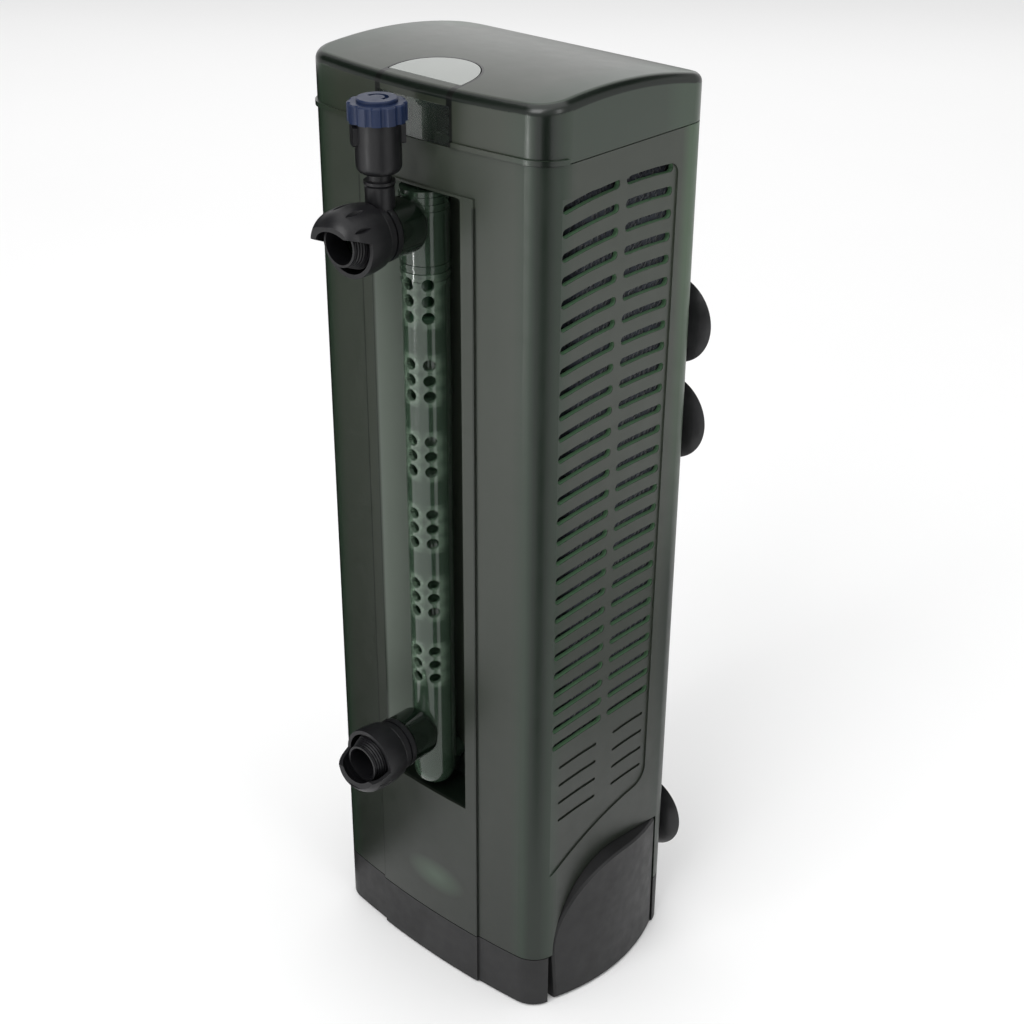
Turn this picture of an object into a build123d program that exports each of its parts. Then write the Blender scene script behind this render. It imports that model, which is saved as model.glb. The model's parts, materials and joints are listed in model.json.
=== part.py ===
from build123d import *
from math import cos, radians, sin
import os

os.makedirs("parts", exist_ok=True)

# An upright internal power filter for an aquarium, in millimetres.
# +Z is up, the front faces -Y, and the origin is the centre of the base's underside.

# Casing plan: a rounded rectangle with a gently bowed front.
case_width = 99.0
front_y = -39.0
front_corner_y = -35.2
back_y = 36.5
front_radius = 10.0
back_radius = 8.5
case_wall = 2.2
fit_gap = 0.3

# Heights of the main seams.
base_top = 21.3
case_bottom = 21.7
case_top = 306.0
lid_bottom = 306.3

# Proud centre strip on the front.
strip_half = 23.4
strip_proud = 0.8
strip_top = 293.0

# Recess in the front that holds the diffuser tube.
recess_half = 18.9
recess_floor_half = 12.5
recess_floor_y = -25.5
recess_bottom = 76.2
recess_top = 292.3
recess_wall = 1.8
recess_corner = 4.0
recess_lip = 2.0

# Intake slots in each side, in two columns of gently arched rows.
slot_rows = 27
slot_pitch = 7.01
slot_height = 2.8
slot_first_z = 293.3
slot_columns = ((-29.4, -4.9), (-1.8, 19.7))
slot_arch = 2.3
flattest_arch = 0.3
slot_arch_centre_y = 2.5
groove_rows = 4
groove_pitch = 7.25
groove_first_z = 101.5
groove_height = 1.2
panel_depth = 0.5
panel_back_y = 21.6
panel_top = 296.4

# Diffuser tube and its row groups of holes.
tube_y = -34.8
tube_radius = 7.4
tube_bore = 5.9
tube_bottom = 77.0
tube_top = 291.2
hole_radius = 2.0
hole_groups = 6
hole_group_top = 257.5
hole_group_pitch = 25.7
hole_row_pitch = 5.2
hole_angles = (-50, 0, 50)

# Outlet ports and their collars.
top_port_z = 281.3
bottom_port_z = 101.7
port_radius = 8.5
port_bore = 5.0
port_start_y = -40.2
collar_start_y = -51.4
collar_end_y = -56.8
collar_radius = 8.8
neck_radius = 6.4
neck_end_y = -61.0

# The two swivelling nozzles, measured along their own axis from where they start.
nozzle_start_y = -57.3
swivel_clearance = 0.08
swivel_length = 4.2
spout_length = 11.4
spout_shoulder = 6.1
spout_rim = 0.7
spout_back_radius = 8.2
spout_mouth_radius = 6.3
spout_bore = 5.6
spout_ribs = 6
hood_wall = 1.3
hood_window = 8.1
hood_grooves = ((-66, 10.4), (-33, 9.1), (0, 8.4), (33, 9.1), (66, 10.4))
groove_lens_reach = 7.5
groove_lens_thick = 6.0
groove_lens_out = 16.9
top_nozzle_turn = 11.5
bottom_nozzle_turn = 180.0

# Air valve on the top collar.
valve_y = -52.4
socket_radius = 4.3
socket_foot = 288.3
socket_floor = 291.6
socket_top = 295.6
valve_neck_radius = 3.5
valve_radius = 6.6
valve_bottom = 299.0
valve_top = 313.6
knob_radius = 8.5
knob_bottom = 314.0
knob_top = 320.4
knob_lobes = 12

# Lid.
lid_apex_y = -8.0
lid_apex_z = 321.7
lid_crown_z = 324.5
lid_arch_radius = 184.0
lid_edge_radius = 3.0
lid_wall = 2.2
window_half = 14.4
button_gap = 0.35
seat_bottom = 317.1
seat_top = 318.3
hinge_y = 39.6
hinge_z = 306.0
knuckle_radius = 2.6
hinge_pin_radius = 1.2

# Flow selector.
selector_half = 6.2
selector_rod_radius = 2.0
selector_bottom = 302.8
selector_top = 316.6
selector_front_y = -35.3
selector_back_y = -30.4

# Pump.
pump_y = 4.0
motor_bottom = 3.0
motor_top = 74.0
well_radius = 8.8
well_bottom = 30.0
magnet_radius = 8.0
shaft_radius = 1.25
wheel_radius = 15.0
volute_radius = 22.0
volute_top = 98.0
outlet_z = 87.0
deck_bottom = 99.0
deck_top = 102.0

# Filter media.
media_bottom = 103.5
media_top = 299.0
shelf_z = 190.0
foam_inner_x = 33.6
foam_outer_x = 46.8

# Squeeze grips on the sides of the base.
grip_face_radius = 72.7
grip_face_centre = (-18.0, 0.5)
grip_inner_x = 45.0
grip_gap = 0.45

# Wall bracket and suction cups.
bracket_half = 43.4
bracket_front_y = 36.9
bracket_back_y = 39.3
bracket_bottom = 25.2
bracket_top = 252.0
bracket_travel = 10.0
hook_places = ((-20.0, 215.0), (20.0, 215.0), (-20.0, 75.0), (20.0, 75.0))
cup_radius = 15.0
cup_rim_y = 43.5
cup_x = 34.5
cup_heights = (236.6, 202.0, 38.4)

# Cable gland.
gland_x = -24.0
gland_z = 9.0
gland_bore = 3.2


def save(shape, name):
    export_step(shape, "parts/" + name + ".step")


def box(x0, x1, y0, y1, z0, z1):
    return Pos((x0 + x1) / 2, (y0 + y1) / 2, (z0 + z1) / 2) * Box(x1 - x0, y1 - y0, z1 - z0)


def rod(radius, start, end):
    """A cylinder between two points."""
    way = Vector(*end) - Vector(*start)
    return extrude(Plane(origin=start, z_dir=way) * Circle(radius), amount=way.length)


def tube(outer, inner, start, end):
    return rod(outer, start, end) - rod(inner, start, end)


def plan(grow=0.0):
    """The casing's plan outline, grown or shrunk all round."""
    half = case_width / 2
    edges = [
        ThreePointArc((-half, front_corner_y), (0, front_y), (half, front_corner_y)),
        Line((half, front_corner_y), (half, back_y)),
        Line((half, back_y), (-half, back_y)),
        Line((-half, back_y), (-half, front_corner_y)),
    ]
    face = make_face(edges)
    corners = face.vertices().sort_by(Axis.Y)
    face = fillet(corners[2:], back_radius)
    corners = face.vertices().sort_by(Axis.Y)
    front = [v for v in corners if abs(v.Y - front_corner_y) < 0.01]
    face = fillet(front, front_radius)
    return offset(face, amount=grow) if grow else face


def column(face, z0, z1):
    return extrude(Pos(0, 0, z0) * face, amount=z1 - z0, dir=(0, 0, 1))


def strip(z0, z1):
    """The proud centre strip of the front, with sloped edges."""
    slope = 0.9
    wedge = Polygon(
        (-strip_half - slope, -30), (-strip_half, front_y - 2),
        (strip_half, front_y - 2), (strip_half + slope, -30), align=None)
    return column(plan(strip_proud), z0, z1) & column(wedge, z0, z1)


def side_face(points, x0, x1):
    """A closed outline in Y and Z, extruded along X."""
    return extrude(Plane.YZ.offset(x0) * make_face(points), amount=x1 - x0, dir=(1, 0, 0))


# ---------------------------------------------------------------- casing

def slot_centre_z(row, y):
    """Height of a slot row at y: the upper rows are more arched than the lower ones."""
    z = slot_first_z - row * slot_pitch
    arch = flattest_arch + (slot_arch - flattest_arch) * (slot_rows - 1 - row) / (slot_rows - 1)
    reach = slot_arch_centre_y - slot_columns[0][0]
    return z + arch * (1 - ((y - slot_arch_centre_y) / reach) ** 2)


def side_slot(y0, y1, heights, height):
    """One rounded slot along an arched line through three heights."""
    r = height / 2
    y_mid = (y0 + y1) / 2
    low, mid, high = heights
    upper = ThreePointArc((y0 + r, low + r), (y_mid, mid + r), (y1 - r, high + r))
    lower = ThreePointArc((y0 + r, low - r), (y_mid, mid - r), (y1 - r, high - r))
    front = ThreePointArc((y0 + r, low + r), (y0, low), (y0 + r, low - r))
    back = ThreePointArc((y1 - r, high + r), (y1, high), (y1 - r, high - r))
    return [upper, back, lower, front]


def slot_cutters(side):
    depth = 12.0
    x0 = case_width / 2 - 6.0 if side > 0 else -case_width / 2 + 6.0 - depth
    cutters = []
    for row in range(slot_rows):
        for y0, y1 in slot_columns:
            heights = [slot_centre_z(row, y) for y in (y0, (y0 + y1) / 2, y1)]
            cutters.append(side_face(side_slot(y0, y1, heights, slot_height), x0, x0 + depth))
    return cutters


def groove_cutters(side):
    """Blind grooves that carry the slot pattern down over the pump chamber."""
    bite = panel_depth + 0.7
    face_x = case_width / 2 - bite
    x0 = face_x if side > 0 else -face_x - 4.0
    cutters = []
    for row in range(groove_rows):
        z = groove_first_z - row * groove_pitch
        for y0, y1 in slot_columns:
            heights = (z, z + 0.2, z)
            cutters.append(side_face(side_slot(y0 + 3.5, y1 - 2.0, heights, groove_height), x0, x0 + 4.0))
    return cutters


def panel_cutter(side):
    """The shallow field round the slots, with its swept lower edge."""
    face_x = case_width / 2 - panel_depth
    x0 = face_x if side > 0 else -face_x - 3.0
    top_round = 4.0
    outline = [
        Line((-45, panel_top), (panel_back_y - top_round, panel_top)),
        RadiusArc((panel_back_y - top_round, panel_top), (panel_back_y, panel_top - top_round), top_round),
        Line((panel_back_y, panel_top - top_round), (panel_back_y - 1.4, 79)),
        ThreePointArc((panel_back_y - 1.4, 79), (18.8, 74.2), (14.6, 71.7)),
        ThreePointArc((14.6, 71.7), (-8.0, 66.9), (-24.0, 60.4)),
        Line((-24.0, 60.4), (-45, 50.2)),
        Line((-45, 50.2), (-45, panel_top)),
    ]
    return side_face(outline, x0, x0 + 3.0)


def grip_outline(grow=0.0):
    """Side view of a squeeze grip: a leaf-shaped panel with an arched top."""
    rise = ThreePointArc((-27.2, 21.4), (-25.2, 34.0), (-19.4, 43.9))
    crest = TangentArc((-19.4, 43.9), (4.0, 53.3), tangent=rise % 1)
    fall = TangentArc((4.0, 53.3), (27.6, 50.6), tangent=crest % 1)
    outline = [
        rise,
        crest,
        fall,
        Line((27.6, 50.6), (28.8, 0.4)),
        Line((28.8, 0.4), (-25.9, 0.4)),
        Line((-25.9, 0.4), (-27.2, 21.4)),
    ]
    face = make_face(outline)
    return offset(face, amount=grow) if grow else face


def grip_window(side, grow):
    """The opening that a grip works through, cut in the casing and the base."""
    x0 = grip_inner_x - 1.7 if side > 0 else -60.0
    reach = 60.0 - grip_inner_x + 1.7
    window = extrude(Plane.YZ.offset(x0) * grip_outline(grow), amount=reach, dir=(1, 0, 0))
    foot = box(x0, x0 + reach, -25.9 - grow, 28.8 + grow, -1, 5)
    return window + foot


def recess_prism(grow, z0, z1):
    """The recess as a solid: sloped side walls that round over into the front face."""
    half = recess_half + grow
    floor_half = recess_floor_half + grow * 0.8
    floor_y = recess_floor_y + grow
    mouth_y = front_y - strip_proud
    outline = Polygon(
        (-half - 8, -60), (-half - 8, mouth_y), (-half, mouth_y), (-floor_half, floor_y),
        (floor_half, floor_y), (half, mouth_y), (half + 8, mouth_y), (half + 8, -60), align=None)
    lips = [v for v in outline.vertices() if abs(abs(v.X) - half) < 0.01]
    return column(fillet(lips, recess_lip), z0, z1)


def recess_mouth():
    """Front view of the recess: square at the foot, rounded at the top."""
    height = recess_top - recess_bottom
    width = 2 * (recess_half + recess_lip)
    face = Pos(0, (recess_top + recess_bottom) / 2) * Rectangle(width, height)
    top = face.vertices().sort_by(Axis.Y)[2:]
    face = fillet(top, recess_corner)
    return extrude(Plane.XZ.offset(20) * face, amount=60)


def hook(x, z):
    """A T-shaped hook on the back that hangs the casing on its bracket."""
    neck = box(x - 2.2, x + 2.2, back_y - 0.6, bracket_back_y + 0.4, z - 2.2, z + 2.2)
    head = box(x - 4.6, x + 4.6, bracket_back_y + 0.4, bracket_back_y + 2.0, z - 2.2, z + 2.2)
    return neck + head


def hinge_knuckle(x0, x1, web_low, web_high, bore):
    """A hinge barrel along X with the web that ties it to a back wall."""
    barrel = rod(knuckle_radius, (x0, hinge_y, hinge_z), (x1, hinge_y, hinge_z))
    web = box(x0, x1, back_y - 0.6, hinge_y, web_low, web_high)
    hole = rod(bore, (x0 - 1, hinge_y, hinge_z), (x1 + 1, hinge_y, hinge_z))
    return barrel + web - hole


def casing_shell():
    shell = column(plan(), case_bottom, case_top) + strip(case_bottom, strip_top)
    shell -= column(plan(-case_wall), case_bottom - 1, case_top + 1)
    guard = column(plan(), recess_bottom - recess_wall, recess_top + recess_wall)
    shell += recess_prism(recess_wall, recess_bottom - recess_wall, recess_top + recess_wall) & guard
    rim = column(plan(-case_wall - fit_gap), case_top - 4, case_top + 2.5)
    rim -= column(plan(-case_wall - fit_gap - 1.2), case_top - 5, case_top + 4)
    collar = column(plan(-case_wall + 0.5), case_top - 4, case_top - 1)
    collar -= column(plan(-case_wall - fit_gap - 1.2), case_top - 5, case_top)
    selector_gate = box(-selector_half - 1, selector_half + 1, -40, -29, case_top - 8, case_top + 4)
    shell += (rim + collar) - selector_gate
    shell -= recess_prism(0, recess_bottom, recess_top) & recess_mouth()
    shell -= rod(selector_rod_radius + 0.6, (0, tube_y, recess_top - 1), (0, tube_y, recess_top + 4))
    shell -= rod(5.2, (0, -30, outlet_z), (0, -20, outlet_z))
    for side in (-1, 1):
        shell -= panel_cutter(side)
        shell -= slot_cutters(side)
        shell -= groove_cutters(side)
        shell -= grip_window(side, grip_gap)
    for x, z in hook_places:
        shell += hook(x, z)
    for x0, x1 in ((-32, -22.4), (22.4, 32)):
        shell += hinge_knuckle(x0, x1, case_top - 5, case_top - 0.4, hinge_pin_radius)
    return shell


def base_cover():
    floor_thick = 2.5
    cover = column(plan(), 0, base_top) + strip(0, base_top)
    cover = chamfer(cover.faces().sort_by(Axis.Z)[0].edges(), 0.8)
    cover -= column(plan(-case_wall), floor_thick, base_top + 1)
    lip = column(plan(-case_wall - fit_gap), base_top - 3, base_top + 4)
    lip -= column(plan(-case_wall - fit_gap - 1.2), base_top - 4, base_top + 5)
    tie = column(plan(-case_wall + 0.5), base_top - 3, base_top - 0.5)
    tie -= column(plan(-case_wall - fit_gap - 1.2), base_top - 4, base_top)
    cover += (lip + tie) - box(-60, 60, -31.5, 31.5, 3, 40)
    for side in (-1, 1):
        cover -= grip_window(side, grip_gap)
        x0, x1 = (grip_inner_x - 1.7, 60) if side > 0 else (-60, -grip_inner_x + 1.7)
        cover -= box(x0, x1, -29.4, -26, -1, 40)
    cover -= rod(4.0, (gland_x, 30, gland_z), (gland_x, 40, gland_z))
    for row in range(5):
        y = -12 + 6 * row
        cover -= extrude(Pos(0, y, -1) * SlotOverall(36, 2.6), amount=6)
    return cover


# ---------------------------------------------------------------- squeeze grips

def grip(side):
    """A proud, outward-bulging panel with a hidden flange that keeps it in its window."""
    centre_x, centre_y = grip_face_centre
    reach = 60.0 - grip_inner_x
    outward = (1, 0, 0)
    block = extrude(Plane.YZ.offset(grip_inner_x) * grip_outline(), amount=reach, dir=outward)
    dome = Pos(centre_x, centre_y, 30) * Cylinder(grip_face_radius, 80)
    block = block & dome
    outer = block.faces().filter_by(GeomType.CYLINDER).sort_by(Axis.X)[-1]
    block = chamfer(outer.edges(), 0.7)
    hollow = extrude(Plane.YZ.offset(grip_inner_x - 1) * grip_outline(-2.4), amount=reach, dir=outward)
    block -= hollow & (Pos(centre_x, centre_y, 30) * Cylinder(grip_face_radius - 2.4, 80))
    flange = extrude(Plane.YZ.offset(grip_inner_x) * grip_outline(1.6), amount=1.4, dir=outward)
    flange -= extrude(Plane.YZ.offset(grip_inner_x - 1) * grip_outline(-2.4), amount=4, dir=outward)
    flange -= box(0, 60, -40, 40, -5, 3.4)
    part = block + flange
    return part if side > 0 else mirror(part, about=Plane.YZ)


# ---------------------------------------------------------------- diffuser and ports

def diffuser_tube():
    end_z = tube_bottom + tube_radius
    outer = rod(tube_radius, (0, tube_y, end_z), (0, tube_y, tube_top))
    outer += Pos(0, tube_y, end_z) * Sphere(tube_radius)
    for z in (262.5, 265.0, 267.5, 284.0, 286.2, 288.4):
        outer += rod(tube_radius + 0.35, (0, tube_y, z), (0, tube_y, z + 1.1))
    outer += rod(4.9, (0, tube_y, outlet_z), (0, recess_floor_y + 1.8, outlet_z))
    bore = rod(tube_bore, (0, tube_y, end_z), (0, tube_y, tube_top - 1.6))
    bore += Pos(0, tube_y, end_z) * Sphere(tube_bore)
    bore += rod(3.6, (0, tube_y, outlet_z), (0, -15, outlet_z))
    bore += rod(selector_rod_radius + 0.4, (0, tube_y, tube_top - 3), (0, tube_y, tube_top + 1))
    for z in (top_port_z, bottom_port_z):
        bore += rod(4.6, (0, tube_y, z), (0, -50, z))
    for group in range(hole_groups):
        for row in (-1, 0, 1):
            z = hole_group_top - group * hole_group_pitch + row * hole_row_pitch
            for angle in hole_angles:
                way = (20 * sin(radians(angle)), -20 * cos(radians(angle)))
                bore += rod(hole_radius, (0, tube_y, z), (way[0], tube_y + way[1], z))
    return outer - bore


def port(z):
    """A flared pipe stub that stands out of the diffuser tube."""
    saddle = rod(port_radius, (0, port_start_y, z), (0, collar_start_y, z))
    saddle = fillet(saddle.edges().sort_by(Axis.Y)[-1], 3.0)
    neck = rod(neck_radius, (0, collar_start_y, z), (0, neck_end_y, z))
    stub = rod(6.6, (0, tube_y - 5, z), (0, port_start_y - 2, z))
    body = saddle + neck + stub
    body -= rod(port_bore, (0, tube_y, z), (0, neck_end_y - 1, z))
    body -= rod(tube_radius + 0.4, (0, tube_y, z - 20), (0, tube_y, z + 20))
    return body


def port_seal(z):
    ring = Torus(neck_radius + 0.47, 0.44)
    return Plane(origin=(0, collar_start_y - 1.6, z), z_dir=(0, -1, 0)) * ring


def collar(z):
    """The snap ring between a port and its nozzle, with two rolled beads."""
    ring = rod(collar_radius, (0, collar_start_y - 0.1, z), (0, collar_end_y, z))
    ring = fillet(ring.edges(), 0.6)
    middle = (collar_start_y + collar_end_y) / 2
    ring -= tube(collar_radius + 1, collar_radius - 0.7, (0, middle + 0.4, z), (0, middle - 0.4, z))
    return ring - rod(neck_radius + 0.95, (0, collar_start_y + 1, z), (0, collar_end_y - 1, z))


def top_collar():
    """The upper collar, which also carries the socket of the air valve."""
    ring = collar(top_port_z)
    socket = rod(socket_radius, (0, valve_y, socket_foot), (0, valve_y, socket_top))
    socket -= rod(port_radius + 0.15, (0, -40, top_port_z), (0, collar_start_y, top_port_z))
    socket -= rod(collar_radius - 0.7, (0, collar_start_y, top_port_z), (0, -60, top_port_z))
    socket = chamfer(socket.edges().sort_by(Axis.Z)[-1], 0.4)
    body = ring + socket
    return body - rod(valve_neck_radius, (0, valve_y, socket_floor), (0, valve_y, socket_top + 1))


def air_valve_body():
    """The upright valve barrel, with its plug-in neck and two small side bosses."""
    barrel = rod(valve_radius, (0, valve_y, valve_bottom), (0, valve_y, valve_top))
    barrel = fillet(barrel.edges().sort_by(Axis.Z)[0], 2.4)
    barrel += rod(valve_neck_radius, (0, valve_y, socket_floor + 0.1), (0, valve_y, valve_bottom + 1))
    barrel += rod(valve_neck_radius + 1.1, (0, valve_y, socket_top + 0.4), (0, valve_y, socket_top + 1.2))
    for angle in (-120, 60):
        boss = box(valve_radius - 1.5, valve_radius + 1.0, -2.2, 2.2, valve_top - 6.4, valve_top - 0.6)
        boss = fillet(boss.edges().filter_by(Axis.X), 0.9)
        barrel += Pos(0, valve_y, 0) * Rot(0, 0, angle) * boss
    barrel -= rod(2.4, (0, valve_y, valve_bottom + 2), (0, valve_y, valve_top + 1))
    return barrel - rod(1.2, (0, valve_y, socket_floor - 1), (0, valve_y, valve_bottom + 3))


def air_knob():
    """The scalloped knob that sets how much air is drawn in."""
    knob = rod(knob_radius, (0, valve_y, knob_bottom), (0, valve_y, knob_top - 1.1))
    for lobe in range(knob_lobes):
        angle = radians(360 / knob_lobes * lobe)
        x = (knob_radius + 0.9) * cos(angle)
        y = valve_y + (knob_radius + 0.9) * sin(angle)
        knob -= rod(1.5, (x, y, knob_bottom - 1), (x, y, knob_top))
    knob = chamfer(knob.faces().sort_by(Axis.Z)[-1].edges(), 0.4)
    disc = rod(knob_radius - 2.6, (0, valve_y, knob_top - 1.2), (0, valve_y, knob_top))
    disc = chamfer(disc.edges().sort_by(Axis.Z)[-1], 0.3)
    mark = tube(3.4, 2.2, (0, valve_y, knob_top - 0.7), (0, valve_y, knob_top + 1))
    mark &= box(-5, 5, valve_y - 0.6, valve_y + 6, knob_top - 2, knob_top + 2)
    return knob + disc - mark


def air_needle():
    """The stem under the knob that closes the air passage as it is turned."""
    stem = rod(2.0, (0, valve_y, valve_bottom + 4.5), (0, valve_y, knob_bottom))
    tip = Pos(0, valve_y, valve_bottom + 3.5) * Cone(0.8, 2.0, 2.0)
    return stem + tip


# ---------------------------------------------------------------- nozzles

def nozzle_plane(z, turn):
    """Where a nozzle sits: its own +Z points forwards, and its hood is turned about that axis."""
    side = (cos(radians(turn)), 0, sin(radians(turn)))
    return Plane(origin=(0, nozzle_start_y, z), x_dir=side, z_dir=(0, -1, 0))


def hood_dome(shrink):
    """A bulging cap that closes over the front of the nozzle, or the hollow inside it."""
    front = 16.8 - shrink
    edges = [
        ThreePointArc((9.8 - shrink, 0), (10.5 - shrink, 6.6), (10.0 - shrink, 11.6)),
        ThreePointArc((10.0 - shrink, 11.6), (7.9 - shrink, 15.1 - 0.6 * shrink), (3.6, front)),
        Line((3.6, front), (0, front)),
        Line((0, front), (0, 0)),
        Line((0, 0), (9.8 - shrink, 0)),
    ]
    return revolve(Plane.XZ * make_face(edges), Axis.Z)


def groove_lens():
    """A thin lens, standing along the nozzle, that scoops a pointed groove."""
    half, edge = groove_lens_thick / 2, groove_lens_reach
    bend = (0.72 * half, 0.55 * edge)
    edges = [
        ThreePointArc((-half, 0), (-bend[0], bend[1]), (0, edge)),
        ThreePointArc((0, edge), bend, (half, 0)),
        Line((half, 0), (-half, 0)),
    ]
    return revolve(make_face(edges), Axis.X)


def nozzle_hood(z, turn):
    """The half-open hood that steers the flow, with a row of scooped grip grooves."""
    low = (Align.CENTER, Align.CENTER, Align.MIN)
    hood = hood_dome(0) - hood_dome(hood_wall)
    hood -= Pos(0, 0, -1) * Cylinder(spout_back_radius + 0.1, 4, align=low)
    opening = make_face(Polyline(
        (-20, hood_window), (0, hood_window), (2.6, 14.4), (6.3, 15.6), (7.5, 20), (-20, 20), close=True))
    hood -= extrude(Plane.YZ.offset(-20) * opening, amount=40)
    for angle, along in hood_grooves:
        hood -= Rot(0, 0, angle) * Pos(0, groove_lens_out, along) * groove_lens()
    return nozzle_plane(z, turn) * hood


def nozzle_spout(z, turn):
    """The ribbed, tapering outlet inside the hood, with the socket that it swivels on."""
    low = (Align.CENTER, Align.CENTER, Align.MIN)
    taper_length = spout_length - spout_rim - spout_shoulder
    body = Cylinder(spout_back_radius, spout_shoulder, align=low)
    body += Pos(0, 0, spout_shoulder) * Cone(spout_back_radius, spout_mouth_radius, taper_length, align=low)
    body += Pos(0, 0, spout_length - spout_rim) * Cylinder(spout_mouth_radius, spout_rim, align=low)
    pitch = taper_length / spout_ribs
    for rib in range(spout_ribs):
        radius = spout_back_radius - (rib + 0.5) * (spout_back_radius - spout_mouth_radius) / spout_ribs
        along = spout_shoulder + rib * pitch + 0.4 * pitch
        groove = Cylinder(10, 0.45 * pitch, align=low) - Cylinder(radius - 0.45, pitch, align=low)
        body -= Pos(0, 0, along) * groove
    body -= Pos(0, 0, -1) * Cylinder(spout_bore, spout_length + 4, align=low)
    body -= Pos(0, 0, -1) * Cylinder(neck_radius + swivel_clearance, swivel_length + 1, align=low)
    return nozzle_plane(z, turn) * body


# ---------------------------------------------------------------- lid

def lid_block(inset, drop):
    """The lid's outer form: a bowed block whose top is arched from front to back."""
    arch_z = lid_crown_z - drop - lid_arch_radius
    block = column(plan(-inset), lid_bottom, lid_crown_z + 10)
    block = block & rod(lid_arch_radius, (-80, lid_apex_y, arch_z), (80, lid_apex_y, arch_z))
    top = block.faces().sort_by(Axis.Z)[-1]
    return fillet(top.edges(), lid_edge_radius)


def button_outline(grow):
    """A half-round tongue at the middle of the lid's front edge."""
    half = window_half + grow
    centre_y = -31.6
    front = front_corner_y + 1.4 - grow
    outline = [
        Line((-half, front), (half, front)),
        Line((half, front), (half, centre_y)),
        ThreePointArc((half, centre_y), (0, centre_y + half), (-half, centre_y)),
        Line((-half, centre_y), (-half, front)),
    ]
    return make_face(outline)


def window_block(grow, z_low):
    return box(-window_half - grow, window_half + grow, -50, -33, z_low, 317.6 + grow)


def lid():
    shell = lid_block(0, 0) - lid_block(lid_wall, lid_wall)
    lip = column(plan(0.7), lid_bottom, lid_bottom + 1.5)
    lip -= column(plan(-lid_wall), lid_bottom - 1, lid_bottom + 4)
    lip &= box(-60, 60, -60, -28, 300, 320)
    shell += lip
    shell -= column(button_outline(button_gap), seat_bottom - 1, lid_crown_z + 1)
    seat = column(button_outline(1.6), seat_bottom, lid_crown_z)
    seat -= column(button_outline(-2.0), seat_bottom - 1, seat_top)
    seat -= column(button_outline(button_gap), seat_top, lid_crown_z + 1)
    shell += seat & lid_block(lid_wall - 0.5, lid_wall - 0.5)
    shell -= window_block(0.05, lid_bottom - 1)
    for x0, x1 in ((-22, -12), (12, 22)):
        shell += hinge_knuckle(x0, x1, lid_bottom + 0.2, lid_bottom + 5, hinge_pin_radius + 0.06)
    return shell


def lid_window():
    """The clear pane in the lid's front, in front of the flow selector."""
    pane = lid_block(0, 0) - lid_block(lid_wall - 0.4, lid_wall)
    return pane & window_block(0, lid_bottom)


def lid_button():
    """The press tongue that frees the lid: a half-round cap flush with the lid's top."""
    cap = lid_block(0, 0) - lid_block(0, lid_wall)
    cap = cap & column(button_outline(0), lid_apex_z - 12, lid_apex_z + 10)
    return cap


def lid_latch():
    """Two friction tabs that hold the lid's front edge down inside the casing's rim."""
    y0 = -33.4
    tab = box(24, 33, y0, y0 + 1.2, case_top - 3, lid_bottom + 6)
    foot = box(24, 33, -38, y0 + 1.2, lid_bottom + 3.4, lid_bottom + 6) & lid_block(lid_wall, lid_wall)
    tab += foot
    return tab + mirror(tab, about=Plane.YZ)


def hinge_pins():
    pins = []
    for x0, x1 in ((-32.4, -11.6), (11.6, 32.4)):
        pins.append(rod(hinge_pin_radius, (x0, hinge_y, hinge_z), (x1, hinge_y, hinge_z)))
    return Compound(children=pins)


# ---------------------------------------------------------------- flow selector

def selector_lever():
    """The channel-shaped bar behind the lid's window that is pulled up or pushed down."""
    half = selector_half
    bar = box(-half, half, selector_front_y, selector_back_y, selector_bottom, selector_top)
    bar = chamfer(bar.edges().filter_by(Axis.Z), 0.8)
    channel_back_y = selector_front_y + 1.6
    low = selector_bottom + 2
    high = selector_top - 2
    channel = box(-half + 2, half - 2, selector_front_y - 1, channel_back_y, low, high)
    return bar - channel


def selector_rod():
    return rod(selector_rod_radius, (0, tube_y, 252), (0, tube_y, selector_bottom))


def shuttle_valve():
    """The hollow piston that uncovers one outlet or another."""
    piston = rod(tube_bore - 0.4, (0, tube_y, 238), (0, tube_y, 252))
    piston = chamfer(piston.edges(), 0.6)
    for z in (241, 247):
        piston -= tube(tube_bore + 1, tube_bore - 1.0, (0, tube_y, z), (0, tube_y, z + 1.4))
    return piston


# ---------------------------------------------------------------- pump

def motor_housing():
    """The potted motor can, with a blind well for the magnet and a pocket for the stator."""
    foot = motor_bottom + 2.2
    body = extrude(Pos(0, 1, foot) * RectangleRounded(68, 56, 9), amount=motor_top - foot)
    body = chamfer(body.faces().sort_by(Axis.Z)[-1].edges(), 1.0)
    pocket = box(-27, 27, -24, 21, motor_bottom, motor_top - 8)
    pocket -= rod(well_radius + 1.4, (0, pump_y, motor_bottom - 1), (0, pump_y, motor_top))
    body -= pocket
    body -= rod(well_radius, (0, pump_y, well_bottom), (0, pump_y, motor_top + 1))
    for y in (-20, 22):
        for x in (-28, 28):
            body -= rod(1.6, (x, y, motor_top - 10), (x, y, motor_top + 1))
    return body


def motor_end_plate():
    return extrude(Pos(0, 1, motor_bottom) * RectangleRounded(68, 56, 9), amount=2.0)


def stator_core():
    """The laminated U whose two arms grip the magnet's well."""
    arm = well_radius + 1.8
    bar = box(-22, 22, -21.5, -13.5, 36, 60)
    arms = box(arm, 22, -13.5, 16, 36, 60) + box(-22, -arm, -13.5, 16, 36, 60)
    core = bar + arms
    for z in range(38, 60, 4):
        core -= box(-23, -21.7, -30, 20, z, z + 0.6) + box(21.7, 23, -30, 20, z, z + 0.6)
    return core


def stator_coil():
    coil = extrude(Pos(0, -17.5, 33) * RectangleRounded(18, 12.6, 2), amount=30)
    return coil - box(-20, 20, -21.6, -13.4, 35.9, 60.1)


def shaft_bush(z):
    bush = rod(5.0, (0, pump_y, z), (0, pump_y, z + 3.0))
    return bush - rod(shaft_radius, (0, pump_y, z - 1), (0, pump_y, z + 4))


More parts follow.
